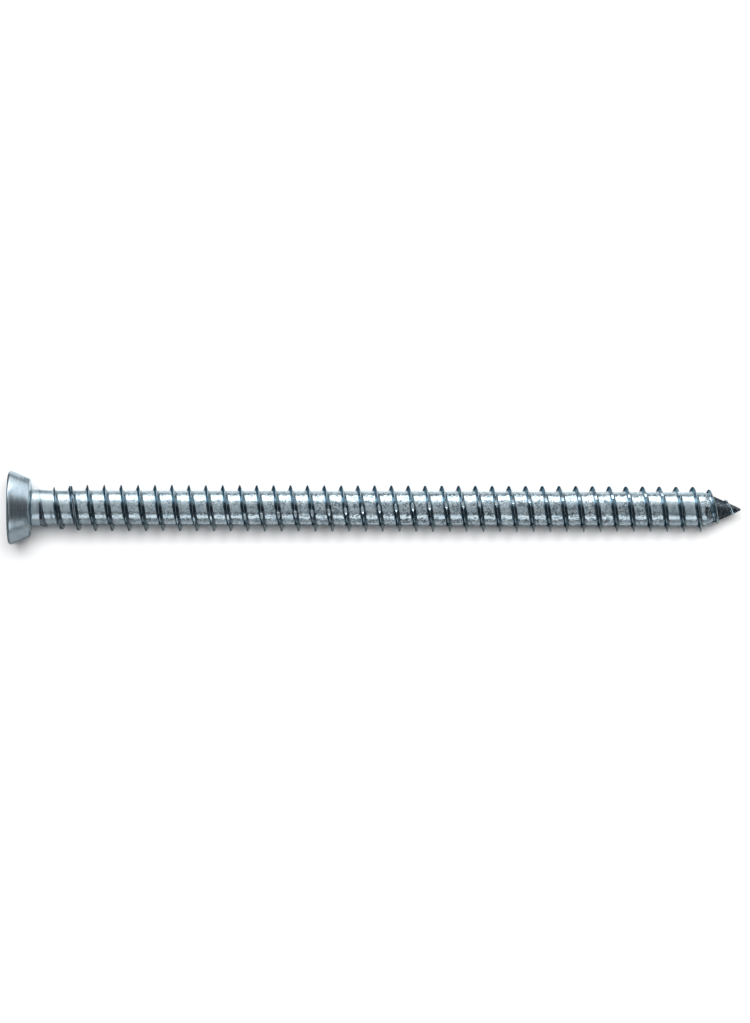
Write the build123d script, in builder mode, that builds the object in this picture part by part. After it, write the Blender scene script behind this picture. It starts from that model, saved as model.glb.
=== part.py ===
from build123d import *
import os
from math import atan, cos, floor, pi, radians, sin, tan

os.makedirs("parts", exist_ok=True)

# A frame screw of 7.5 x 120 for window and door frames: one piece of steel, cold forged and thread rolled.
# It is shaped upright about its own axis, with the face of the head at z = 0 and the nose at z = length.
# Then it is laid down as it rests on a table: on the rim of its head and on its last full turn of thread.

# Driving dimensions, in millimetres and degrees. Heights are measured from the face of the head.
length = 120.0

head_diameter = 12.0
head_edge_radius = 0.45
head_rim_height = 0.54
countersink_half_angle = 22.5
countersink_end = 3.52
neck_angle = 12.0
neck_chamfer = 0.25

drive_across_lobes = 5.6
drive_across_flutes = 3.95
drive_lobe_radius = 0.46
drive_lobes = 6
drive_depth = 3.0
drive_bottom_angle = 20.0

shank_diameter = 6.0
shank_end = 5.1
core_diameter = 5.6

thread_diameter = 7.5
thread_pitch = 2.75
thread_crest_width = 0.1
thread_flank_angle = 20.0
thread_start_gap = 0.1
thread_start_angle = 50.0
thread_start_height = 0.06
thread_run_in_turns = 2.85
thread_end_gap = 0.8

point_half_angle = 24.0
nose_diameter = 0.3

# Each turn of a helical line is drawn with this many straight chords, which keeps forty turns light.
chords_per_turn = 18

head_radius = head_diameter / 2
shank_radius = shank_diameter / 2
core_radius = core_diameter / 2
thread_radius = thread_diameter / 2
nose_radius = nose_diameter / 2
crest_half_width = thread_crest_width / 2
thread_start = shank_end + thread_start_gap + crest_half_width
thread_end = length - thread_end_gap
point_slope = tan(radians(point_half_angle))
point_start = length - (core_radius - nose_radius) / point_slope


def core_radius_at(z):
    """The core is a cylinder that ends in the cone of the point."""
    return min(core_radius, nose_radius + (length - z) * point_slope)


def tooth(turn):
    """The thread's section so many turns from its start, as (radius, z) corners.

    They are the root and the crest towards the head, then the crest and the root towards the point.
    The crest grows steeply out of the core at first, then slowly over the rest of the run-in.
    On the point it keeps its share of the core's radius, so that the thread fades with the cone.
    """
    z = thread_start + thread_pitch * turn
    grown = min(1.0, turn / thread_run_in_turns) ** 0.4
    full_height = core_radius_at(z) * (thread_radius / core_radius - 1)
    height = max(thread_start_height, full_height * grown)
    crest = core_radius_at(z) + height
    root_half_width = crest_half_width + height * tan(radians(thread_flank_angle))
    root_low = z - root_half_width
    root_high = z + root_half_width
    return [
        (core_radius_at(root_low), root_low),
        (crest, z - crest_half_width),
        (crest, z + crest_half_width),
        (core_radius_at(root_high), root_high),
    ]


def about_axis(radius, z, step):
    angle = radians(thread_start_angle) + 2 * pi * step / chords_per_turn
    return Vector(radius * cos(angle), radius * sin(angle), z)


def tooth_corner(corner, step):
    radius, z = tooth(step / chords_per_turn)[corner]
    return about_axis(radius, z, step)


def helical_line(corner, first_step, last_step):
    """The line that one corner of the tooth draws as it winds around the core."""
    with BuildLine() as line:
        Polyline(*[tooth_corner(corner, step) for step in range(first_step, last_step + 1)])
    return line.wire()


def flat_facet(*corners):
    return Face(Wire.make_polygon(corners, close=True))


ROOT_LOW, CREST_LOW, CREST_HIGH, ROOT_HIGH = range(4)
first = 0
last = floor((thread_end - thread_start) / thread_pitch * chords_per_turn)


def thread_bands():
    """Both flanks and the crest along the whole thread, and the core between one turn and the next."""
    lines = [helical_line(corner, first, last) for corner in range(4)]
    rails = list(zip(lines, lines[1:]))
    core_from = helical_line(ROOT_HIGH, first, last - chords_per_turn)
    core_to = helical_line(ROOT_LOW, first + chords_per_turn, last)
    rails.append((core_from, core_to))
    return [face for rail in rails for face in Face.make_surface_from_curves(*rail).faces()]


def core_below_thread():
    """The core from the shank's end up to the first turn, one facet for each chord."""
    facets = []
    for step in range(first, first + chords_per_turn):
        corners = [about_axis(core_radius, shank_end, step), about_axis(core_radius, shank_end, step + 1)]
        if step + 1 == first + chords_per_turn:
            corners += [tooth_corner(ROOT_LOW, first), tooth_corner(ROOT_HIGH, first)]
        corners += [tooth_corner(ROOT_LOW, step + 1), tooth_corner(ROOT_LOW, step)]
        facets.append(flat_facet(*corners))
    return facets


def core_above_thread():
    """The core from the last turn up to the nose, one facet for each chord."""
    facets = []
    for step in range(last - chords_per_turn, last):
        corners = [tooth_corner(ROOT_HIGH, step), tooth_corner(ROOT_HIGH, step + 1)]
        corners += [about_axis(nose_radius, length, step + 1), about_axis(nose_radius, length, step)]
        if step == last - chords_per_turn:
            corners += [tooth_corner(ROOT_HIGH, last), tooth_corner(ROOT_LOW, last)]
        facets.append(flat_facet(*corners))
    return facets


def end_faces():
    """The blunt first and last sections of the thread, the core's flat start and the flat nose."""
    around = range(chords_per_turn)
    return [
        flat_facet(*[tooth_corner(corner, first) for corner in range(4)]),
        flat_facet(*[tooth_corner(corner, last) for corner in range(4)]),
        flat_facet(*[about_axis(core_radius, shank_end, step) for step in around]),
        flat_facet(*[about_axis(nose_radius, length, step) for step in around]),
    ]


threaded_zone = Solid(Shell(thread_bands() + core_below_thread() + core_above_thread() + end_faces()))

# The upright screw: head and shank turned in one profile, the drive forged into the head,
# and the threaded zone on the end of the shank.
countersink_end_radius = head_radius - (countersink_end - head_rim_height) * tan(radians(countersink_half_angle))
neck_end = countersink_end + (countersink_end_radius - shank_radius) * tan(radians(neck_angle))

# The drive's lobes and flutes are arcs that meet tangentially.
lobe_centre = drive_across_lobes / 2 - drive_lobe_radius
half_step = pi / drive_lobes
flute_radius = (
    lobe_centre**2
    + (drive_across_flutes / 2) ** 2
    - lobe_centre * drive_across_flutes * cos(half_step)
    - drive_lobe_radius**2
) / (2 * drive_lobe_radius - drive_across_flutes + 2 * lobe_centre * cos(half_step))
flute_centre = drive_across_flutes / 2 + flute_radius
lobe_share = drive_lobe_radius / (drive_lobe_radius + flute_radius)


def polar(radius, angle):
    return Vector(radius * cos(angle), radius * sin(angle), 0)


def where_arcs_meet(lobe_angle, flute_angle):
    lobe = polar(lobe_centre, lobe_angle)
    flute = polar(flute_centre, flute_angle)
    return lobe + (flute - lobe) * lobe_share


with BuildPart() as upright_screw:
    with BuildSketch(Plane.XZ):
        with BuildLine():
            Polyline(
                (0, 0),
                (head_radius, 0),
                (head_radius, head_rim_height),
                (countersink_end_radius, countersink_end),
                (shank_radius, neck_end),
                (shank_radius, shank_end),
                (0, shank_end),
                close=True,
            )
        make_face()
        fillet(vertices().sort_by_distance((head_radius, 0))[0], head_edge_radius)
        chamfer(vertices().sort_by_distance((shank_radius, neck_end))[0], neck_chamfer)
    revolve(axis=Axis.Z)

    with BuildSketch():
        with BuildLine():
            for lobe in range(drive_lobes):
                middle = 2 * half_step * lobe
                flute = middle + half_step
                lobe_start = where_arcs_meet(middle, middle - half_step)
                lobe_end = where_arcs_meet(middle, flute)
                next_lobe_start = where_arcs_meet(flute + half_step, flute)
                ThreePointArc(lobe_start, polar(drive_across_lobes / 2, middle), lobe_end)
                ThreePointArc(lobe_end, polar(drive_across_flutes / 2, flute), next_lobe_start)
        make_face()
    extrude(amount=drive_depth, mode=Mode.SUBTRACT)

    drive_bottom_radius = drive_across_flutes / 2
    drive_end = drive_depth + drive_bottom_radius * tan(radians(drive_bottom_angle))
    with BuildSketch(Plane.XZ):
        with BuildLine():
            Polyline((0, drive_depth), (drive_bottom_radius, drive_depth), (0, drive_end), close=True)
        make_face()
    revolve(axis=Axis.Z, mode=Mode.SUBTRACT)

    add(threaded_zone)

# Lying at rest, the screw tips until the head's rim and the lowest crest of its last full turn
# are level. Its axis runs along +X, and the face of the head stays at the origin.
turn_facing_down = (270 - thread_start_angle) / 360
full_turns = floor((point_start - thread_start) / thread_pitch - turn_facing_down)
contact_from_face = thread_start + thread_pitch * (full_turns + turn_facing_down) + crest_half_width
rest_angle = atan((head_radius - thread_radius) / (contact_from_face - head_rim_height))
lying = Plane(origin=(0, 0, 0), x_dir=(0, 1, 0), z_dir=(cos(rest_angle), 0, -sin(rest_angle)))

with BuildPart() as frame_screw:
    with Locations(lying.location):
        add(upright_screw.part)

frame_screw.part.label = "frame_screw"
export_step(frame_screw.part, "parts/frame_screw.step")
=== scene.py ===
"""The looks of a zinc plated frame screw, lying on a white studio table and seen from straight above."""

from math import atan, cos, floor, pi, radians, sin, sqrt, tan

import bpy
import numpy as np
from mathutils import Matrix, Vector


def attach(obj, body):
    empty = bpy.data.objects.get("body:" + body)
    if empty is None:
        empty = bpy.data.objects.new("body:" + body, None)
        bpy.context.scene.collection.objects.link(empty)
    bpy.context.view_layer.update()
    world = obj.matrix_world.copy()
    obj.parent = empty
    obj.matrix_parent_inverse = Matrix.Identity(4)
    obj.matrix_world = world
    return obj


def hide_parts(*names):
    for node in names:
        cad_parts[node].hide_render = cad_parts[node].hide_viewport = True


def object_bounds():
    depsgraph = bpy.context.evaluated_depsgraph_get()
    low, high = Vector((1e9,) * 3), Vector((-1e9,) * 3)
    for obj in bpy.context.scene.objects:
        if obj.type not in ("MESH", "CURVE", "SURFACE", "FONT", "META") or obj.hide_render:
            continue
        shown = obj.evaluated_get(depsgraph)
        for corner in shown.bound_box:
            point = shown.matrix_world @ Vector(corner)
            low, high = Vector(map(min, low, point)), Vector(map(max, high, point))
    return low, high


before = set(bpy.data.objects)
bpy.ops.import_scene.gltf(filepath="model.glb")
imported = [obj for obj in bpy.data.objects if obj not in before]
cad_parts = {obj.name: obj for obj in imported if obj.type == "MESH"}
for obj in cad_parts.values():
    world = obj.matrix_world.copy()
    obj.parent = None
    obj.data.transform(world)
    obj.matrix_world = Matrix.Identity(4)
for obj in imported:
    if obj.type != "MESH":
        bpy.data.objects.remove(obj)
cad_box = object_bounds()

# ---------------------------------------------------------------- sizes, in millimetres and degrees
MM = 0.001
LENGTH = 120.0

HEAD_RADIUS = 6.0
HEAD_EDGE_RADIUS = 0.48
HEAD_RIM_HEIGHT = 0.54
RIM_ROUNDING = 0.06
FACE_RINGS = 3.4, 4.4
COUNTERSINK_HALF_ANGLE = 22.5
COUNTERSINK_END = 3.52
COUNTERSINK_END_ROUNDING = 0.12
NECK_ANGLE = 12.0
NECK_ROUNDING = 0.3

LOBE_OUTER_RADIUS = 2.8
FLUTE_INNER_RADIUS = 1.975
LOBE_RADIUS = 0.46
LOBES = 6
DRIVE_DEPTH = 3.0
DRIVE_BOTTOM_ANGLE = 20.0
DRIVE_LEAD_IN = 0.14
DRIVE_FLOOR_ROUNDING = 0.04

SHANK_RADIUS = 3.0
SHANK_END = 5.12
SHANK_STEP_LENGTH = 0.1
SHANK_STEP = 0.05
SHANK_TAPER_END = 7.4
STEP_END = SHANK_END + SHANK_STEP_LENGTH
CORE_RADIUS = 2.8
CORE_UNEVENNESS = 0.008
CORE_HEIGHT = 0.01

THREAD_RADIUS = 3.75
THREAD_PITCH = 2.75
THREAD_START = 5.25
THREAD_START_ANGLE = 50.0
THREAD_END = 119.2
FLANK_SLOPE = tan(radians(18.0))
CREST_HALF_WIDTH = 0.05
CREST_FLAT_HALF_WIDTH = 0.04
CREST_ROUNDING = 0.03
CREST_UNEVENNESS = 0.02
CREST_WANDER = 0.015
CREST_SETBACK = 0.15
BLUNT_CREST_HALF_WIDTH = 0.15
LOW_CREST_HALF_WIDTH, LOW_CREST_WIDENING = 0.2, 0.3
LIP_GROOVE_DEPTH = 0.12
ROOT_FILLET = 0.4
ROOT_FILLET_ARC = 70.0
HEIGHT_PER_FILLET = 0.9

POINT_HALF_ANGLE = 24.0
POINT_SLOPE = tan(radians(POINT_HALF_ANGLE))
NOSE_RADIUS = 0.15
NOSE_APEX = 119.995
NOSE_RINGS = (119.55, 0.335), (119.76, 0.235), (119.9, 0.145), (119.97, 0.07)
POINT_START = LENGTH - (CORE_RADIUS - NOSE_RADIUS) / POINT_SLOPE

NICK_FIRST_ANGLE = 114.0
NICK_FIRST_TURN = 11.6
NICK_DRIFT = -2.72
NICK_DEPTH = 0.45
NICK_LOWER_FLAT, NICK_LOWER_WALL = 0.3, 0.56
NICK_UPPER_FLAT, NICK_UPPER_WALL = 0.34, 0.62
NICK_ABOVE_CORE = 0.1

# Seed and slowest and fastest waves of what is uneven: per turn for the crest, per millimetre for the core.
CREST_WAVES = 11, 0.6, 5.0
WANDER_WAVES = 23, 0.5, 3.0
CORE_WAVES, CORE_WAVE_SHIFT = (5, 0.1, 0.45), 0.4

# Where something along the thread comes and where it goes, in turns from the thread's start.
RUN_IN_TURNS, RUN_IN_POWER = 2.85, 0.4
BLUNT_TURNS = (0.95, 1.25), (2.0, 2.9)
LIP_TURNS = (0.8, 1.5), (2.1, 2.9)
NICK_TURNS = (6, 12), (37.5, 39)
EARLY_TURNS, EARLY_BY = ((0, 1.2), (3, 18)), 0.24
LATE_TURNS, LATE_BY = (28, 38), 0.06
HIGH_CREST_FADE, HIGH_CREST_BY = (32, 37), 0.06

# Where something around the screw comes and where it goes, in degrees.
WEDGE_ANGLES = (38, 66), (190, 270)
# Near the top, the fillet on the side towards the head is painted lighter at these angles: a painted highlight.
BRIGHT_ROOT_ANGLES = (-30, 0), (44, 60)

# Where something along the screw comes and where it goes, in millimetres from the head's face.
ROLLED_FROM, ROLLED_FULLY, ROLLED_AT_ONCE = (6, 10), (20, 60), 0.65
SMOOTH_BEFORE_POINT, SMOOTH_SHARE = ((104, 110), (112.5, 114)), 0.7
DRAWN_FADE, DRAWN_EXTRA = (10, 20), 0.45
# From here the core on the point gets a dark copy of the plate: painted shade.
POINT_DARK_FROM = 115.3
LAST_CREST_FROM = 117.2

# Masks of the skin: turned or drawn, mottled by the rolling, and crest, which carries painted shade on the crests
# and on the head's edge.
TURNED, DRAWN, SHADED_EDGE, STEP = (1, 0, 0), (1 + DRAWN_EXTRA, 0, 0), (0.8, 0, 0.75), (0.6, 0, 0)
MOTTLED, ROOT = (0, 1, 0), (0, 0, 0)
MASKS = "turned", "mottled", "crest"
# How much of the rounding at the head's edge gets the painted shade.
SHADED_EDGE_SHARE = 0.7
# The radii of the neck's band that gets painted shade.
SHADED_NECK = 3.1, 3.95
# Where the core's plate starts up the root fillet, and how much further up it reaches where the fillet gets the
# painted highlight.
ROOT_POLISH, ROOT_HIGHLIGHT_SHIFT = (232, 286), 34

# The mesh's columns, in degrees, and the distance at which vertices are the same.
HEAD_COLUMNS = 240
FINE_FROM, FINE_TO, FINE_STEP = 30.0, 126.0, 2.4
COARSE_STEP = 6.0
SHARP_FROM = 32.0
END_REACH, SAME = 0.004, 1e-6


def smooth(x, start, end):
    """0 before start, 1 after end and an even rise between them."""
    t = np.clip((np.asarray(x, float) - start) / (end - start), 0.0, 1.0)
    return t * t * (3 - 2 * t)


def between(x, rise, fall):
    """0, then 1 from the end of the rise to the start of the fall, then 0 again."""
    return smooth(x, *rise) * (1 - smooth(x, *fall))


def ripple(x, seed, slowest, fastest, waves=7):
    """A smooth irregular wave along x, about -1 to 1, of waves with slowest to fastest cycles per unit."""
    draw = np.random.default_rng(seed)
    rates = draw.uniform(slowest, fastest, waves)
    phases = draw.uniform(0, 2 * pi, waves)
    total = sum(np.sin(2 * pi * rate * np.asarray(x, float) + phase) for rate, phase in zip(rates, phases))
    return total / sqrt(waves * 1.5)


# ---------------------------------------------------------------- how the screw lies at rest
def rest_angle():
    """The screw rests on its head's rim and on the lowest crest of its last full turn."""
    facing_down = (270 - THREAD_START_ANGLE) / 360
    full_turns = floor((POINT_START - THREAD_START) / THREAD_PITCH - facing_down)
    contact = THREAD_START + THREAD_PITCH * (full_turns + facing_down) + CREST_HALF_WIDTH
    return atan((HEAD_RADIUS - THREAD_RADIUS) / (contact - HEAD_RIM_HEIGHT))


REST = rest_angle()
LYING = Matrix(
    (
        (0, sin(REST), cos(REST), 0),
        (1, 0, 0, 0),
        (0, cos(REST), -sin(REST), 0),
        (0, 0, 0, 1),
    )
)


# ---------------------------------------------------------------- the mesh
class Skin:
    """Collects the vertices, their masks and the faces of one closed skin around the screw's axis."""

    def __init__(self):
        self.points, self.masks, self.faces = [], [], []

    def place(self, radii, angles, z, masks):
        """Adds vertices and gives their numbers."""
        first = sum(len(p) for p in self.points)
        self.points.append(np.column_stack((radii * np.cos(angles), radii * np.sin(angles), z)))
        self.masks.append(masks)
        return np.arange(first, first + len(angles))

    def ring(self, radii, z, angles, mask=ROOT):
        """Adds one closed ring of vertices and gives their numbers."""
        radii, z = np.broadcast_to(radii, len(angles)), np.broadcast_to(z, len(angles))
        return self.place(radii, angles, z, np.broadcast_to(np.array(mask, float), (len(angles), 3)))

    def apex(self, z):
        return self.ring(0.0, z, np.zeros(1))[0]

    def join(self, low, high):
        """Quads between two rings with the same number of vertices."""
        for a, b, c, d in zip(low, np.roll(low, -1), np.roll(high, -1), high):
            self.faces.append((a, b, c, d))

    def close(self, ring, apex, upward):
        """A fan of triangles between a ring and one vertex on the axis."""
        for a, b in zip(ring, np.roll(ring, -1)):
            self.faces.append((a, b, apex) if upward else (b, a, apex))

    def stitch(self, low, low_angles, high, high_angles):
        """Triangles between two rings whose vertices stand at different angles."""
        i = j = 0
        n, m = len(low), len(high)
        low_at = np.append(low_angles, low_angles[0] + 2 * pi)
        high_at = np.append(high_angles, high_angles[0] + 2 * pi)
        while i < n or j < m:
            if j == m or (i < n and low_at[i + 1] <= high_at[j + 1]):
                self.faces.append((low[i], low[(i + 1) % n], high[j % m]))
                i += 1
            else:
                self.faces.append((low[i % n], high[(j + 1) % m], high[j]))
                j += 1


# ---------------------------------------------------------------- the head
def drive_outline(angles):
    """The radius of the drive recess at each angle: arcs for the lobes and flutes, which meet tangentially."""
    half_step = pi / LOBES
    lobe_centre = LOBE_OUTER_RADIUS - LOBE_RADIUS
    across = lobe_centre * cos(half_step)
    flute_radius = (
        lobe_centre**2 + FLUTE_INNER_RADIUS**2 - 2 * across * FLUTE_INNER_RADIUS - LOBE_RADIUS**2
    ) / (2 * (LOBE_RADIUS - FLUTE_INNER_RADIUS + across))
    flute_centre = FLUTE_INNER_RADIUS + flute_radius
    share = LOBE_RADIUS / (LOBE_RADIUS + flute_radius)
    meet = np.array((lobe_centre, 0)) * (1 - share)
    meet = meet + np.array((flute_centre * cos(half_step), flute_centre * sin(half_step))) * share
    meet_angle = np.arctan2(meet[1], meet[0])
    turned = np.abs((angles + half_step) % (2 * half_step) - half_step)
    from_lobe = np.minimum(turned, meet_angle)
    from_flute = half_step - np.maximum(turned, meet_angle)
    on_lobe = lobe_centre * np.cos(from_lobe) + np.sqrt(
        LOBE_RADIUS**2 - (lobe_centre * np.sin(from_lobe)) ** 2
    )
    on_flute = flute_centre * np.cos(from_flute) - np.sqrt(
        flute_radius**2 - (flute_centre * np.sin(from_flute)) ** 2
    )
    return np.where(turned < meet_angle, on_lobe, on_flute)


def drive_rings():
    """(share of the outline's radius, share of the lead-in's width, depth) from the recess's floor to the face."""
    return (
        (0.86, 0.0, DRIVE_DEPTH),
        (0.975, 0.0, DRIVE_DEPTH - DRIVE_FLOOR_ROUNDING),
        (0.985, 0.0, DRIVE_DEPTH * 0.55),
        (1.0, 0.0, DRIVE_LEAD_IN),
        (1.0, 0.3, DRIVE_LEAD_IN * 0.3),
        (1.0, 1.0, 0.0),
        (1.0, 1.25, 0.0),
    )


def rounded_corner(before, corner, after, reach, steps):
    """Points on a smooth bend that cuts the corner, starting reach before it and ending reach after it."""
    before, corner, after = (np.array(p, float) for p in (before, corner, after))
    start = corner + (before - corner) / np.linalg.norm(before - corner) * reach
    end = corner + (after - corner) / np.linalg.norm(after - corner) * reach
    shares = np.linspace(0, 1, steps)
    return [tuple((1 - s) ** 2 * start + 2 * s * (1 - s) * corner + s * s * end) for s in shares]


def head_profile():
    """(radius, z) from the middle of the head's face, over the rim and countersink, down to the shank."""
    seat_end = HEAD_RADIUS - (COUNTERSINK_END - HEAD_RIM_HEIGHT) * tan(radians(COUNTERSINK_HALF_ANGLE))
    neck_end = COUNTERSINK_END + (seat_end - SHANK_RADIUS) * tan(radians(NECK_ANGLE))
    face, edge, rim = (FACE_RINGS[1], 0.0), (HEAD_RADIUS, 0.0), (HEAD_RADIUS, HEAD_RIM_HEIGHT)
    seat, neck, shank = (seat_end, COUNTERSINK_END), (SHANK_RADIUS, neck_end), (SHANK_RADIUS, SHANK_END)
    profile = [(radius, 0.0) for radius in FACE_RINGS]
    profile += rounded_corner(face, edge, rim, HEAD_EDGE_RADIUS, steps=7)
    profile += rounded_corner(edge, rim, seat, RIM_ROUNDING, steps=3)[1:]
    profile += [tuple(np.array(rim) * (1 - s) + np.array(seat) * s) for s in (0.25, 0.5, 0.75)]
    profile += rounded_corner(rim, seat, neck, COUNTERSINK_END_ROUNDING, steps=5)
    profile += [tuple((np.array(seat) + np.array(neck)) / 2)]
    profile += rounded_corner(seat, neck, shank, NECK_ROUNDING, steps=6)
    return profile


def head_mask(radius, z):
    """The head is turned, and its rounded edge is painted darker: painted shade. The neck is drawn, but for a band
    of the cone under the countersink that gets the dark flank copy of the plate: painted shade.
    """
    if z > COUNTERSINK_END:
        return ROOT if SHADED_NECK[0] < radius < SHADED_NECK[1] else DRAWN
    reach = HEAD_EDGE_RADIUS * SHADED_EDGE_SHARE
    return SHADED_EDGE if z < reach and radius > HEAD_RADIUS - reach else TURNED


def add_head(skin):
    """The drive recess, the face, the countersink and the neck. Gives the last ring and its angles."""
    angles = np.arange(HEAD_COLUMNS) * 2 * pi / HEAD_COLUMNS
    outline = drive_outline(angles)
    bottom_rise = FLUTE_INNER_RADIUS * tan(radians(DRIVE_BOTTOM_ANGLE))
    lowest = skin.apex(DRIVE_DEPTH + bottom_rise)
    rings = [skin.ring(FLUTE_INNER_RADIUS * 0.5, DRIVE_DEPTH + bottom_rise * 0.5, angles)]
    skin.close(rings[0], lowest, upward=False)
    for share, lead_in, z in drive_rings():
        rings.append(skin.ring(outline * share + DRIVE_LEAD_IN * lead_in, z, angles, TURNED))
    for radius, z in head_profile():
        rings.append(skin.ring(radius, z, angles, head_mask(radius, z)))
    for low, high in zip(rings, rings[1:]):
        skin.join(low, high)
    return rings[-1], angles


# ---------------------------------------------------------------- the thread
def core_radius(z):
    """The radius of the straight core and of the cone of the point."""
    return np.minimum(CORE_RADIUS, NOSE_RADIUS + (LENGTH - z) * POINT_SLOPE)


def shank_taper(z):
    """The radius of the short taper from the shank's edge down to the core."""
    share = np.clip((z - SHANK_END) / (SHANK_TAPER_END - SHANK_END), 0, 1)
    return (SHANK_RADIUS - SHANK_STEP) * (1 - share) + CORE_RADIUS * share


def nick_at(turn):
    """How deep the thread is nicked there: once a turn, a little earlier each time."""
    angle = (turn * 360 + THREAD_START_ANGLE) % 360
    middle = NICK_FIRST_ANGLE + NICK_DRIFT * (np.floor(turn + THREAD_START_ANGLE / 360) - NICK_FIRST_TURN)
    below = (angle - middle) * pi / 180 * THREAD_RADIUS
    shape = 1 - smooth(below, NICK_LOWER_FLAT, NICK_LOWER_FLAT + NICK_LOWER_WALL)
    shape = shape * (1 - smooth(-below, NICK_UPPER_FLAT, NICK_UPPER_FLAT + NICK_UPPER_WALL))
    return NICK_DEPTH * shape * between(turn, *NICK_TURNS)


def ridge_height(turn):
    """Height of the crest above the core. It grows over the first turns and follows the cone of the point."""
    z = THREAD_START + THREAD_PITCH * turn
    grown = np.clip(turn / RUN_IN_TURNS, 0, 1) ** RUN_IN_POWER
    full = core_radius(z + CREST_SETBACK) * (THREAD_RADIUS / CORE_RADIUS - 1)
    uneven = CREST_UNEVENNESS * (np.minimum(ripple(turn, *CREST_WAVES), 1) - 1)
    uneven = uneven + HIGH_CREST_BY * (1 - smooth(turn, *HIGH_CREST_FADE))
    nick = nick_at(turn) * full / (THREAD_RADIUS - CORE_RADIUS)
    return np.maximum(full * grown + uneven * grown - nick, 0.0)


def thread_rows(turn):
    """The profile of one turn as rows of (offset along the axis, height above the core, masks), low to high."""
    height, nick = ridge_height(turn), nick_at(turn)
    half = CREST_FLAT_HALF_WIDTH + BLUNT_CREST_HALF_WIDTH * between(turn, *BLUNT_TURNS)
    half = np.minimum(half, LOW_CREST_HALF_WIDTH + LOW_CREST_WIDENING * height) + nick * FLANK_SLOPE
    groove = LIP_GROOVE_DEPTH * between(turn, *LIP_TURNS)
    rounding = np.minimum(CREST_ROUNDING, height * 0.3)
    nicked = nick / NICK_DEPTH
    fillet = np.minimum(ROOT_FILLET, height / HEIGHT_PER_FILLET)
    base = half + height * FLANK_SLOPE
    edge = base + fillet * tan(radians(ROOT_FILLET_ARC / 2))
    room = THREAD_PITCH / 2 - edge
    middle_flank = height * 0.55 + fillet * 0.3
    from_top = (turn * 360 + THREAD_START_ANGLE + 90) % 360 - 90

    def side(light):
        """One side of the tooth, from beside its middle to the core. Light is how much further up its fillet the
        core's plate is carried, a painted highlight.
        """
        plate_from, plate_to = (degrees - ROOT_HIGHLIGHT_SHIFT * light for degrees in ROOT_POLISH)
        tooth = [
            (half * 0.5, height - groove * 0.35, 1.0 - nicked, nicked),
            (half * 0.85, height, 1.0 - nicked, nicked),
            (half + rounding * 0.4, height - rounding, 0.5 - nicked * 0.5, nicked),
            (base - middle_flank * FLANK_SLOPE, middle_flank, 0.0, 0.0),
        ]
        for degrees in np.linspace(270 - ROOT_FILLET_ARC, 270, 5):
            place = edge + fillet * cos(radians(degrees))
            core_plate = smooth(degrees, plate_from, plate_to)
            tooth.append((place, fillet * (1 + sin(radians(degrees))), 0.0, core_plate))
        return tooth + [(edge + room * share, edge * 0, 0.0, 1.0) for share in (0.3, 0.65)]

    # The side towards the head gets the painted highlight near the top.
    to_head, to_point = side(between(from_top, *BRIGHT_ROOT_ANGLES)), side(0.0)
    middle = (half * 0, height - groove, 1.0 - nicked, nicked)
    last = (edge * 0 + THREAD_PITCH / 2, edge * 0, 0.0, 1.0)
    rows = [(-offset, *rest) for offset, *rest in reversed(to_head)] + [middle] + to_point + [last]
    return [np.stack([np.broadcast_to(v, height.shape) for v in values], -1) for values in zip(*rows)]


def helix_columns():
    """Angles of the columns of the threaded zone, finer on the side where the thread is nicked."""
    fine = np.arange(FINE_FROM, FINE_TO, FINE_STEP)
    coarse = np.arange(FINE_TO, FINE_FROM + 360, COARSE_STEP)
    return np.radians(np.sort(np.concatenate((fine, coarse)) % 360))


def grow_from_shank(angles, z, radius, mottles):
    """Makes the first ridge's side towards the head one slope from the shank's edge, where it parts from it."""
    degrees = np.degrees(angles)[:, None]
    part = between(degrees, *WEDGE_ANGLES)
    crest_row = z.shape[1] // 2 - 1
    flank_row = slice(crest_row - 2, crest_row - 1)
    share = np.linspace(0, 1, crest_row + 1)
    slope_z = STEP_END + (z[:, flank_row] - STEP_END) * share
    edge_radius = SHANK_RADIUS - SHANK_STEP
    slope_radius = edge_radius + (radius[:, flank_row] - edge_radius) * share
    left = slice(0, crest_row - 1)
    z[:, left] = z[:, left] * (1 - part) + slope_z[:, left] * part
    radius[:, left] = radius[:, left] * (1 - part) + slope_radius[:, left] * part
    mottles[:, left] *= 1 - part


def threaded_zone(angles):
    """Height along the axis, radius and masks by column and row, and the number of rows in one turn."""
    turns = np.arange(-2, floor((THREAD_END - THREAD_START) / THREAD_PITCH) + 4)
    turn = turns[None, :] + (np.degrees(angles)[:, None] - THREAD_START_ANGLE) / 360
    offsets, heights, crests, mottles = thread_rows(turn)
    centre = THREAD_START + THREAD_PITCH * turn[:, :, None]
    wander = CREST_WANDER * ripple(turn, *WANDER_WAVES)[:, :, None] * (crests > 0)
    drift = EARLY_BY * between(turn, *EARLY_TURNS) + LATE_BY * smooth(turn, *LATE_TURNS)
    z = centre + offsets + wander - drift[:, :, None]
    uneven = CORE_UNEVENNESS * ripple(z + CORE_WAVE_SHIFT * turn[:, :, None], *CORE_WAVES) * mottles
    radius = np.maximum(core_radius(z) + heights, shank_taper(z) * (z < SHANK_TAPER_END))
    radius = radius + uneven * (heights < CORE_HEIGHT)
    first = list(turns).index(0)
    grow_from_shank(angles, z[:, first], radius[:, first], mottles[:, first])
    z, radius, crests, mottles = (v.reshape(len(angles), -1) for v in (z, radius, crests, mottles))
    return np.maximum.accumulate(z, axis=1), radius, crests, mottles, offsets.shape[2]


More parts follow.
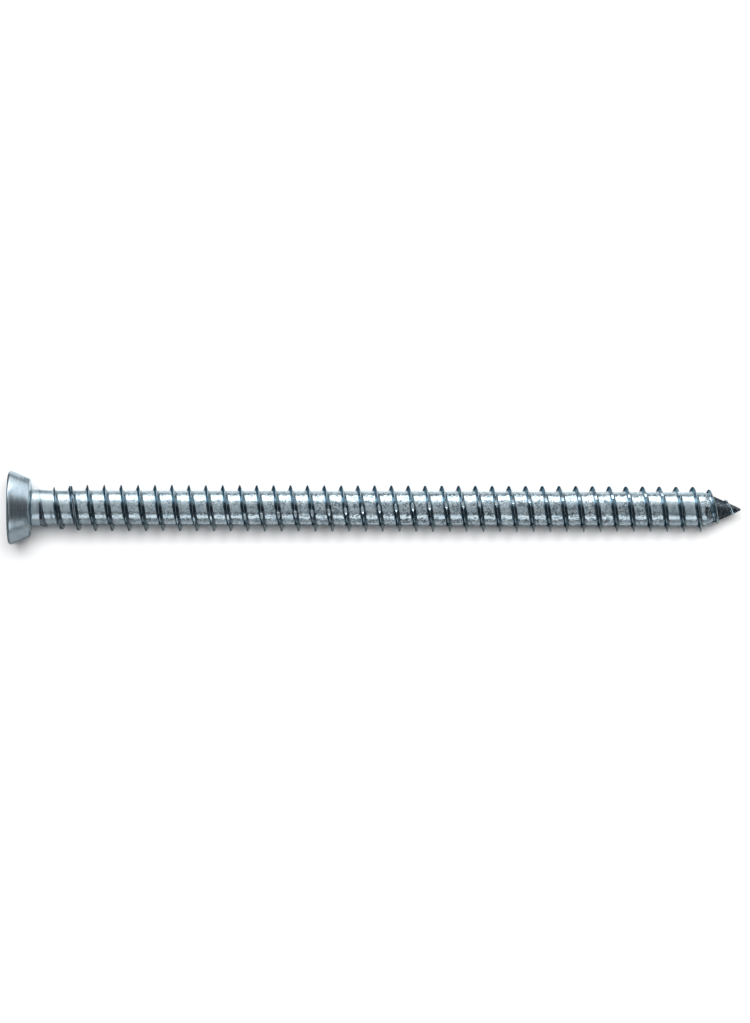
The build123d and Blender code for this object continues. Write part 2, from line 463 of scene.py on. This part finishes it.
def zone_masks(z, radius, crests, mottles):
    """The core is drawn near the head, more and more mottled by the rolling, and smoother before the point."""
    rolled = smooth(z, *ROLLED_FROM) * (ROLLED_AT_ONCE + (1 - ROLLED_AT_ONCE) * smooth(z, *ROLLED_FULLY))
    even = 1 - rolled + SMOOTH_SHARE * between(z, *SMOOTH_BEFORE_POINT)
    in_nick = radius > core_radius(z) + NICK_ABOVE_CORE
    even = np.where(in_nick, 1.0, even)
    drawn = 1 + DRAWN_EXTRA * (1 - smooth(z, *DRAWN_FADE))
    return np.column_stack((mottles * even * drawn, mottles * (1 - even), crests))


def add_zone_vertices(skin, angles, zone, start, end):
    """Vertex numbers by column and row. Rows past an end of the zone share the vertices of that end's ring."""
    z, radius, crests, mottles = zone
    column = np.broadcast_to(np.arange(len(angles))[:, None], z.shape)
    before, after = z <= STEP_END + END_REACH, z >= THREAD_END - END_REACH
    repeated = np.zeros(z.shape, bool)
    repeated[:, 1:] = (np.diff(z, axis=1) < SAME) & (np.abs(np.diff(radius, axis=1)) < SAME)
    inside = ~before & ~after & ~repeated
    number = np.full(z.shape, -1)
    number[before] = start[column[before]]
    number[after] = end[column[after]]
    masks = zone_masks(z[inside], radius[inside], crests[inside], mottles[inside])
    number[inside] = skin.place(radius[inside], angles[column[inside]], z[inside], masks)
    for row in range(1, z.shape[1]):
        again = number[:, row] < 0
        number[again, row] = number[again, row - 1]
    return number


def add_thread(skin, low_ring, low_angles):
    """The helical skin: rows that follow the tooth's profile, with each column a little further along the axis."""
    angles = helix_columns()
    *zone, rows = threaded_zone(angles)
    shank = skin.ring(SHANK_RADIUS, SHANK_END, angles, DRAWN)
    skin.stitch(low_ring, low_angles, shank, angles)
    start = skin.ring(SHANK_RADIUS - SHANK_STEP, STEP_END, angles, STEP)
    skin.join(shank, start)
    end = skin.ring(core_radius(THREAD_END), THREAD_END, angles, MOTTLED)
    number = add_zone_vertices(skin, angles, zone, start, end)
    after_last = np.append(number[0][rows:], np.full(rows, end[0]))
    for here, beside in zip(number, [*number[1:], after_last]):
        for quad in zip(here[:-1], beside[:-1], beside[1:], here[1:]):
            corners = tuple(dict.fromkeys(quad))
            if len(corners) > 2:
                skin.faces.append(corners)
    return end, angles


def add_nose(skin, ring, angles):
    """The rounded tip of the point."""
    for z, radius in NOSE_RINGS:
        upper = skin.ring(radius, z, angles, MOTTLED)
        skin.join(ring, upper)
        ring = upper
    skin.close(ring, skin.apex(NOSE_APEX), upward=True)


# ---------------------------------------------------------------- the screw
# Numbers of the plate and of its copies with painted shade, in the order in which they are listed, and the lean
# along X from which a flank faces the point.
PLATE, SHADED_PLATE_TO_HEAD, SHADED_PLATE_ON_POINT, SHADED_PLATE_TO_POINT = range(4)
TOWARDS_POINT = 0.3


def plate_copy_of(z, on_core, facing):
    """Which copy of the plate a face gets: flanks get darker copies by the side that they face, and the core on the
    point a dark copy, all painted shade.
    """
    if on_core:
        return SHADED_PLATE_ON_POINT if z > POINT_DARK_FROM else PLATE
    if z > LAST_CREST_FROM:
        return PLATE
    return SHADED_PLATE_TO_HEAD if facing < TOWARDS_POINT and z > SHANK_TAPER_END else SHADED_PLATE_TO_POINT


def build_screw():
    """The whole screw as one mesh, lying as it comes to rest, with its masks and each face's copy of the plate,
    some with painted shade.
    """
    skin = Skin()
    ring, angles = add_head(skin)
    ring, angles = add_thread(skin, ring, angles)
    add_nose(skin, ring, angles)
    points, masks = np.concatenate(skin.points), np.concatenate(skin.masks)
    mesh = bpy.data.meshes.new("screw")
    mesh.from_pydata((points * MM).tolist(), [], [tuple(map(int, face)) for face in skin.faces])
    mesh.transform(LYING)
    for name, values in zip(MASKS, masks.T):
        attribute = mesh.attributes.new(name, "FLOAT", "POINT")
        attribute.data.foreach_set("value", values.astype(np.float32))
    mesh.update()
    heights, polished = points[:, 2], masks[:, :2].sum(axis=1)
    for face in mesh.polygons:
        corners = list(face.vertices)
        on_core = polished[corners].mean() > 0.5
        face.material_index = plate_copy_of(heights[corners].mean(), on_core, face.normal.x)
    mesh.shade_smooth()
    mesh.set_sharp_from_angle(angle=radians(SHARP_FROM))
    return link(bpy.data.objects.new("screw", mesh))


def link(thing):
    """Puts an object in the scene and gives it back."""
    bpy.context.scene.collection.objects.link(thing)
    return thing


# ---------------------------------------------------------------- materials
# Waves per millimetre of the plate's textures, along the screw and across it.
CLOUDS, GRAIN, SPECKS, STREAKS = (0.5, 0.5, 0.5), (1.25, 1.25, 1.25), (3.0, 3.0, 3.0), (16.0, 0.25, 0.25)
CLOUD_RAMP = 0.35, 0.65
PIT_RAMP, PIT_SHARE = (0.52, 0.42), 0.7
FLECK_RAMP, FLECK_SHARE = (0.53, 0.60), 0.7
WORN_RAMP, WORN_COLOUR, WORN_SHARE = (0.45, 0.65), (0.72, 0.78, 0.81), 0.35
# The crests and the head's edge are painted darker in this colour: painted shade.
CREST_SHADE_COLOUR, CREST_SHADE_SHARE = (0.20, 0.25, 0.29), 0.85
LEAST_ROUGHNESS, GRAIN_ROUGHNESS, STREAK_ROUGHNESS, SPECK_ROUGHNESS = 0.15, 0.18, 0.24, 0.05
GRAIN_RELIEF, SPECK_RELIEF, STREAK_RELIEF = 0.09, 0.045, 0.004

# The plate and its copies with painted shade: darker flanks towards the head, a dark point, and darker flanks
# towards the point that are brighter at grazing angles, a painted sheen.
PLATE_AND_SHADED_COPIES = (
    dict(
        name="zinc_plate",
        dark=(0.42, 0.54, 0.62),
        light=(0.52, 0.63, 0.69),
        pit=(0.13, 0.18, 0.21),
        fleck=(0.80, 0.88, 0.92),
        edge_tint=(0.85, 0.90, 0.93),
    ),
    dict(
        name="zinc_plate_painted_dark_on_flanks_to_the_head",
        dark=(0.31, 0.42, 0.50),
        light=(0.37, 0.49, 0.57),
        pit=(0.05, 0.07, 0.08),
        fleck=(0.26, 0.31, 0.34),
        edge_tint=(0.04, 0.05, 0.055),
    ),
    dict(
        name="zinc_plate_painted_dark_on_the_point",
        dark=(0.08, 0.10, 0.12),
        light=(0.12, 0.15, 0.17),
        pit=(0.03, 0.04, 0.05),
        fleck=(0.20, 0.24, 0.27),
        edge_tint=(0.15, 0.17, 0.18),
    ),
    dict(
        name="zinc_plate_on_flanks_to_the_point",
        dark=(0.18, 0.23, 0.26),
        light=(0.23, 0.28, 0.31),
        pit=(0.05, 0.07, 0.08),
        fleck=(0.20, 0.24, 0.26),
        edge_tint=(0.72, 0.80, 0.80),
    ),
)
PAPER_FLECKS, PAPER_DARK, PAPER_LIGHT = (0.05, 0.05, 0.05), (0.93, 0.93, 0.93), (0.95, 0.95, 0.95)


def new_material(name):
    material = bpy.data.materials.new(name)
    material.use_nodes = True
    material.node_tree.nodes.clear()
    return material, material.node_tree


def add(tree, kind, settings=None, **inputs):
    """A node with its settings and inputs. An input is a value, or a socket to link from."""
    node = tree.nodes.new(kind)
    for name, value in (settings or {}).items():
        setattr(node, name, value)
    for name, value in inputs.items():
        socket = node.inputs[int(name[1:])] if name[0] == "_" else node.inputs[name.replace("_", " ")]
        if isinstance(value, bpy.types.NodeSocket):
            tree.links.new(value, socket)
        else:
            socket.default_value = value
    return node


def scaled_place(tree, per_mm):
    """Object coordinates with X along the screw, in millimetres, times a factor for each axis."""
    place = add(tree, "ShaderNodeTexCoord").outputs["Object"]
    level = add(tree, "ShaderNodeVectorRotate", {"rotation_type": "Y_AXIS"}, Vector=place, Angle=-REST)
    scale = Vector(per_mm) / MM
    return add(tree, "ShaderNodeMapping", Vector=level.outputs[0], Scale=scale).outputs["Vector"]


def noise(tree, per_mm, detail, roughness=0.5):
    vector = scaled_place(tree, per_mm)
    node = add(tree, "ShaderNodeTexNoise", Vector=vector, Scale=1.0, Detail=detail, Roughness=roughness)
    return node.outputs["Fac"]


def ramp(tree, value, zero_at, one_at):
    """A smooth change from 0 where the value is zero_at to 1 where it is one_at."""
    settings = {"interpolation_type": "SMOOTHSTEP"}
    node = add(tree, "ShaderNodeMapRange", settings, Value=value, From_Min=zero_at, From_Max=one_at)
    return node.outputs["Result"]


def times(tree, first, *others):
    for other in others:
        first = add(tree, "ShaderNodeMath", {"operation": "MULTIPLY"}, _0=first, _1=other).outputs[0]
    return first


def plus(tree, first, *others):
    for other in others:
        first = add(tree, "ShaderNodeMath", {"operation": "ADD"}, _0=first, _1=other).outputs[0]
    return first


def blend_colours(tree, share, a, b):
    node = add(tree, "ShaderNodeMix", {"data_type": "RGBA"}, _0=share)
    for index, value in ((6, a), (7, b)):
        if isinstance(value, bpy.types.NodeSocket):
            tree.links.new(value, node.inputs[index])
        else:
            node.inputs[index].default_value = (*value, 1)
    return node.outputs[2]


def zinc_plate(name, dark, light, pit, fleck, edge_tint):
    """Bright zinc with a bluish passivation: drawn and turned faces, and a rolled core with a mottled skin."""
    material, tree = new_material(name)
    turned, mottled, crest = (
        add(tree, "ShaderNodeAttribute", {"attribute_name": mask}).outputs["Fac"] for mask in MASKS
    )
    clouds = noise(tree, CLOUDS, detail=4)
    grain = noise(tree, GRAIN, detail=2.5, roughness=0.55)
    specks = noise(tree, SPECKS, detail=2)
    streaks = noise(tree, STREAKS, detail=3, roughness=0.65)

    colour = blend_colours(tree, ramp(tree, clouds, *CLOUD_RAMP), dark, light)
    pits = times(tree, ramp(tree, grain, *PIT_RAMP), mottled, PIT_SHARE)
    colour = blend_colours(tree, pits, colour, pit)
    flecks = times(tree, ramp(tree, specks, *FLECK_RAMP), mottled, FLECK_SHARE)
    colour = blend_colours(tree, flecks, colour, fleck)
    worn = times(tree, ramp(tree, streaks, *WORN_RAMP), turned, WORN_SHARE)
    colour = blend_colours(tree, worn, colour, WORN_COLOUR)
    # Painted shade on the crests and on the head's edge.
    colour = blend_colours(tree, times(tree, crest, CREST_SHADE_SHARE), colour, CREST_SHADE_COLOUR)

    roughness = plus(
        tree,
        LEAST_ROUGHNESS,
        times(tree, grain, mottled, GRAIN_ROUGHNESS),
        times(tree, streaks, turned, STREAK_ROUGHNESS),
        times(tree, specks, SPECK_ROUGHNESS),
    )
    relief = plus(
        tree,
        times(tree, grain, mottled, GRAIN_RELIEF),
        times(tree, specks, mottled, SPECK_RELIEF),
        times(tree, streaks, turned, STREAK_RELIEF),
    )
    bump = add(tree, "ShaderNodeBump", Height=relief, Strength=1.0, Distance=MM)
    shader = add(
        tree,
        "ShaderNodeBsdfPrincipled",
        Metallic=1.0,
        Base_Color=colour,
        Specular_Tint=(*edge_tint, 1),
        Roughness=roughness,
        Normal=bump.outputs["Normal"],
    )
    add(tree, "ShaderNodeOutputMaterial", Surface=shader.outputs[0])
    return material


def matt(material, tree, colour):
    """Makes a material matt, in a colour or in the colours of a socket."""
    shader = add(tree, "ShaderNodeBsdfDiffuse", Color=colour)
    add(tree, "ShaderNodeOutputMaterial", Surface=shader.outputs[0])
    return material


def white_paper():
    material, tree = new_material("white_paper")
    flecks = noise(tree, PAPER_FLECKS, detail=2)
    return matt(material, tree, blend_colours(tree, flecks, PAPER_DARK, PAPER_LIGHT))


def grey_card(name, grey):
    material, tree = new_material(name)
    return matt(material, tree, (grey, grey, grey, 1))


# ---------------------------------------------------------------- studio, in metres and degrees
TABLE_HALF_SIZE = 2.5
CARD_THICKNESS = 0.0001
SCREW_MIDDLE, HEAD_MIDDLE = Vector((0.06, 0, 0)), Vector((0, 0, 0))
WORLD_LEVEL = (0.06, 0.065, 0.07)

# The picture's height on the screw, and its middle as a place along and across the screw's axis.
VIEW_HEIGHT = 0.1676
VIEW_MIDDLE = Vector((-0.475 * MM, 0, 59.95 * MM))
VIEW_TURN = 0.157
CAMERA_DISTANCE = 0.645
SENSOR_SIZE = 36

# Cards on the table, which the camera doesn't see, that put dark, grey and light painted reflections into the
# screw: name, grey, whether the overhead lamps light it, and corners.
CARDS = (
    (
        "far_card",
        0.02,
        False,
        [(-0.12, 0.0188), (0.24, 0.0070), (0.24, 0.017), (0.03, 0.029), (0.012, 0.0215), (-0.12, 0.026)],
    ),
    (
        "near_card",
        0.42,
        True,
        [(-0.12, -0.2), (0.24, -0.2), (0.24, -0.0115), (0.03, -0.0142), (0.012, -0.0102), (-0.12, -0.0112)],
    ),
    ("neck_card", 0.02, False, [(0.0042, 0.0086), (0.0135, 0.0082), (0.0135, 0.0112), (0.0042, 0.0122)]),
    ("edge_card", 0.2, True, [(-0.12, -0.0112), (0.24, -0.0085), (0.24, -0.0041), (-0.12, -0.0047)]),
    ("under_card", 0.8, True, [(-0.002, -0.0045), (0.13, -0.0041), (0.13, -0.001), (-0.002, -0.001)]),
    (
        "head_card",
        0.02,
        False,
        [(-0.1, -0.02), (-0.003, -0.02), (-0.003, 0.012), (-0.012, 0.02), (-0.03, 0.045), (-0.1, 0.09)],
    ),
)

# Lamps: name, what it aims at, azimuth from +Y towards +X, elevation, distance, width and height, radiance.
SOFTBOXES = (
    ("key", SCREW_MIDDLE, -20, 17, 0.7, (1.4, 0.42), 3.2),
    ("key_on_head", HEAD_MIDDLE, 50, 17, 0.7, (0.35, 0.42), 1.3),
    ("key_spill", SCREW_MIDDLE, -14, 48, 0.7, (0.8, 0.34), 0.75),
    ("fill", SCREW_MIDDLE, 173, 30, 0.7, (0.6, 0.36), 1.4),
    ("ceiling", SCREW_MIDDLE, 0, 90, 0.9, (0.5, 1.0), 0.52),
    ("head_end", SCREW_MIDDLE, 268, 12, 0.8, (0.9, 0.34), 0.8),
    ("point_end", SCREW_MIDDLE, 90, 12, 0.8, (0.7, 0.34), 1.0),
)
OVERHEAD_LAMPS = (
    ("top", SCREW_MIDDLE, 0, 76, 4.0, (2.6, 2.0), 11.1),
    ("top_spill", SCREW_MIDDLE, 180, 79, 4.0, (2.6, 1.4), 1.0),
)


def flat_sheet(name, corners, height, material):
    """A level sheet of one face."""
    mesh = bpy.data.meshes.new(name)
    mesh.from_pydata([(x, y, height) for x, y in corners], [], [tuple(range(len(corners)))])
    mesh.materials.append(material)
    return link(bpy.data.objects.new(name, mesh))


def add_floor(height):
    """The top of the white table."""
    half = TABLE_HALF_SIZE
    corners = [(-half, -half), (half, -half), (half, half), (-half, half)]
    floor_object = flat_sheet("studio_floor", corners, height, white_paper())
    return floor_object


def add_card(name, grey, corners, height):
    """A card that lies on the table beside the screw, of which only the reflection shows."""
    card = flat_sheet(name, corners, height, grey_card(name, grey))
    card.visible_camera = card.visible_diffuse = card.visible_shadow = False
    return card


def polar_place(centre, azimuth, elevation, distance):
    """A place seen from centre at that azimuth from +Y towards +X and at that elevation, in degrees."""
    a, e = radians(azimuth), radians(elevation)
    return centre + distance * Vector((sin(a) * cos(e), cos(a) * cos(e), sin(e)))


def add_lamp(name, aim, azimuth, elevation, distance, size, radiance, lights, seen):
    """A rectangular lamp for the pieces of one collection. Its radiance is what a mirror shows of it."""
    lamp = bpy.data.lights.new(name, "AREA")
    lamp.shape = "RECTANGLE"
    lamp.size, lamp.size_y = size
    lamp.energy = radiance * pi * size[0] * size[1]
    holder = link(bpy.data.objects.new(name, lamp))
    holder.location = polar_place(aim, azimuth, elevation, distance)
    holder.rotation_euler = (aim - holder.location).to_track_quat("-Z", "Y").to_euler()
    holder.visible_camera = False
    holder.visible_glossy = seen
    holder.light_linking.receiver_collection = lights


def group(name, pieces):
    collection = bpy.data.collections.new(name)
    for piece in pieces:
        collection.objects.link(piece)
    return collection


def add_studio(screw, table_height):
    """A white table with cards on it, softboxes for the screw alone and overhead lamps for the table alone."""
    lit = [add_floor(table_height)]
    for name, grey, is_lit, corners in CARDS:
        card = add_card(name, grey, corners, table_height + CARD_THICKNESS)
        if is_lit:
            lit.append(card)
    on_screw = group("lit_by_softboxes", [screw])
    on_table = group("lit_from_above", lit)
    for softbox in SOFTBOXES:
        add_lamp(*softbox, on_screw, seen=True)
    for lamp in OVERHEAD_LAMPS:
        add_lamp(*lamp, on_table, seen=False)
    world = bpy.data.worlds.new("studio")
    world.use_nodes = True
    world.node_tree.nodes["Background"].inputs["Color"].default_value = (*WORLD_LEVEL, 1)
    bpy.context.scene.world = world


def add_camera():
    """Straight above the middle of the screw, with its length across the picture."""
    camera = bpy.data.cameras.new("camera")
    camera.sensor_width = SENSOR_SIZE
    camera.lens = SENSOR_SIZE * CAMERA_DISTANCE / VIEW_HEIGHT
    camera.clip_start, camera.clip_end = 0.01, 20
    holder = link(bpy.data.objects.new("camera", camera))
    holder.location = LYING @ VIEW_MIDDLE + Vector((0, 0, CAMERA_DISTANCE))
    holder.rotation_euler = (0, 0, radians(VIEW_TURN))
    bpy.context.scene.camera = holder


bpy.context.scene.view_settings.view_transform = "Standard"

screw = build_screw()
for plate_copy in PLATE_AND_SHADED_COPIES:
    screw.data.materials.append(zinc_plate(**plate_copy))
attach(screw, "root")
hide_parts("frame_screw")

add_studio(screw, cad_box[0].z)
add_camera()
